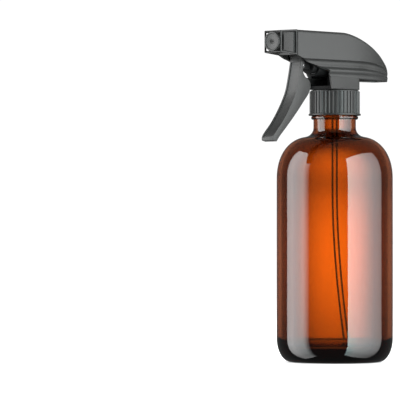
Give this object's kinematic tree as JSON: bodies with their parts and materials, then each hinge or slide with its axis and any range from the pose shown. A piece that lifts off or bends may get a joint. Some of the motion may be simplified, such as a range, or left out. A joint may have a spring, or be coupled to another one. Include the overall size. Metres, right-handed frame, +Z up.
{
  "type": "trigger spray bottle",
  "caption": "Round glass bottle with a screw-on trigger sprayer: pull the trigger to pump liquid up the dip tube and out of the nozzle.",
  "frame": {"origin": "middle of the bottle's base, on the bottle's axis, where it stands", "axes": "+Z up along the bottle's axis; the nozzle points along -Y; +X is to the right when looking along +Y, from the nozzle's side"},
  "size_m": [0.075, 0.114, 0.2125],
  "materials": {
    "amber_glass": "clear amber glass, gloss",
    "black_plastic": "satin black moulded polypropylene",
    "black_nozzle": "black moulded plastic, half gloss",
    "clear_tube": "translucent polyethylene",
    "natural_plastic": "natural white polypropylene",
    "seal_rubber": "black rubber",
    "gasket_foam": "white foamed polyethylene",
    "steel": "stainless spring wire"
  },
  "bodies": {
    "bottle": {"bottle": "amber_glass"},
    "head": {"sprayer_body": "black_plastic", "shroud": "black_plastic", "neck_adapter": "natural_plastic", "bottle_gasket": "gasket_foam", "dip_tube": "clear_tube", "outlet_spring": "steel", "swirl_spinner": "natural_plastic", "nozzle_seal": "seal_rubber", "return_spring": "steel"},
    "collar": {"screw_collar": "black_plastic"},
    "trigger": {"trigger": "black_plastic", "link_pin": "steel"},
    "piston": {"piston": "natural_plastic", "piston_seal_front": "seal_rubber", "piston_seal_rear": "seal_rubber"},
    "nozzle": {"nozzle_cap": "black_nozzle", "orifice_insert": "black_nozzle"},
    "inlet_ball": {"inlet_ball": "steel"},
    "outlet_valve": {"outlet_valve": "natural_plastic"}
  },
  "joints": [
    {"name": "head_lift", "type": "slide", "parent": "bottle", "child": "head", "axis": [0, 0, 1], "range_m": [0, 0.165]},
    {"name": "collar_turn", "type": "hinge", "parent": "head", "child": "collar", "pos_m": [0, 0, 0.167], "axis": [0, 0, 1], "continuous": true},
    {"name": "trigger_pull", "type": "hinge", "parent": "head", "child": "trigger", "pos_m": [0, -0.034, 0.2044], "axis": [1, 0, 0], "range_deg": [0, 18], "stiffness_Nm_per_rad": 0.3, "springref_deg": -20.05},
    {"name": "piston_stroke", "type": "slide", "parent": "head", "child": "piston", "axis": [0, 1, 0], "range_m": [0, 0.0046], "deforming": ["return_spring"]},
    {"name": "nozzle_turn", "type": "hinge", "parent": "head", "child": "nozzle", "pos_m": [0, -0.046, 0.2044], "axis": [0, -1, 0], "continuous": true},
    {"name": "ball_lift", "type": "slide", "parent": "head", "child": "inlet_ball", "axis": [0, 0, 1], "range_m": [0, 0.0012]},
    {"name": "outlet_open", "type": "slide", "parent": "head", "child": "outlet_valve", "axis": [0, -1, 0], "range_m": [0, 0.0008], "stiffness_N_per_m": 25, "springref_m": -0.001, "deforming": ["outlet_spring"]}
  ],
  "couplings": [
    {"joint": "piston_stroke", "follows": "trigger_pull", "m_per_rad": 0.01394}
  ]
}
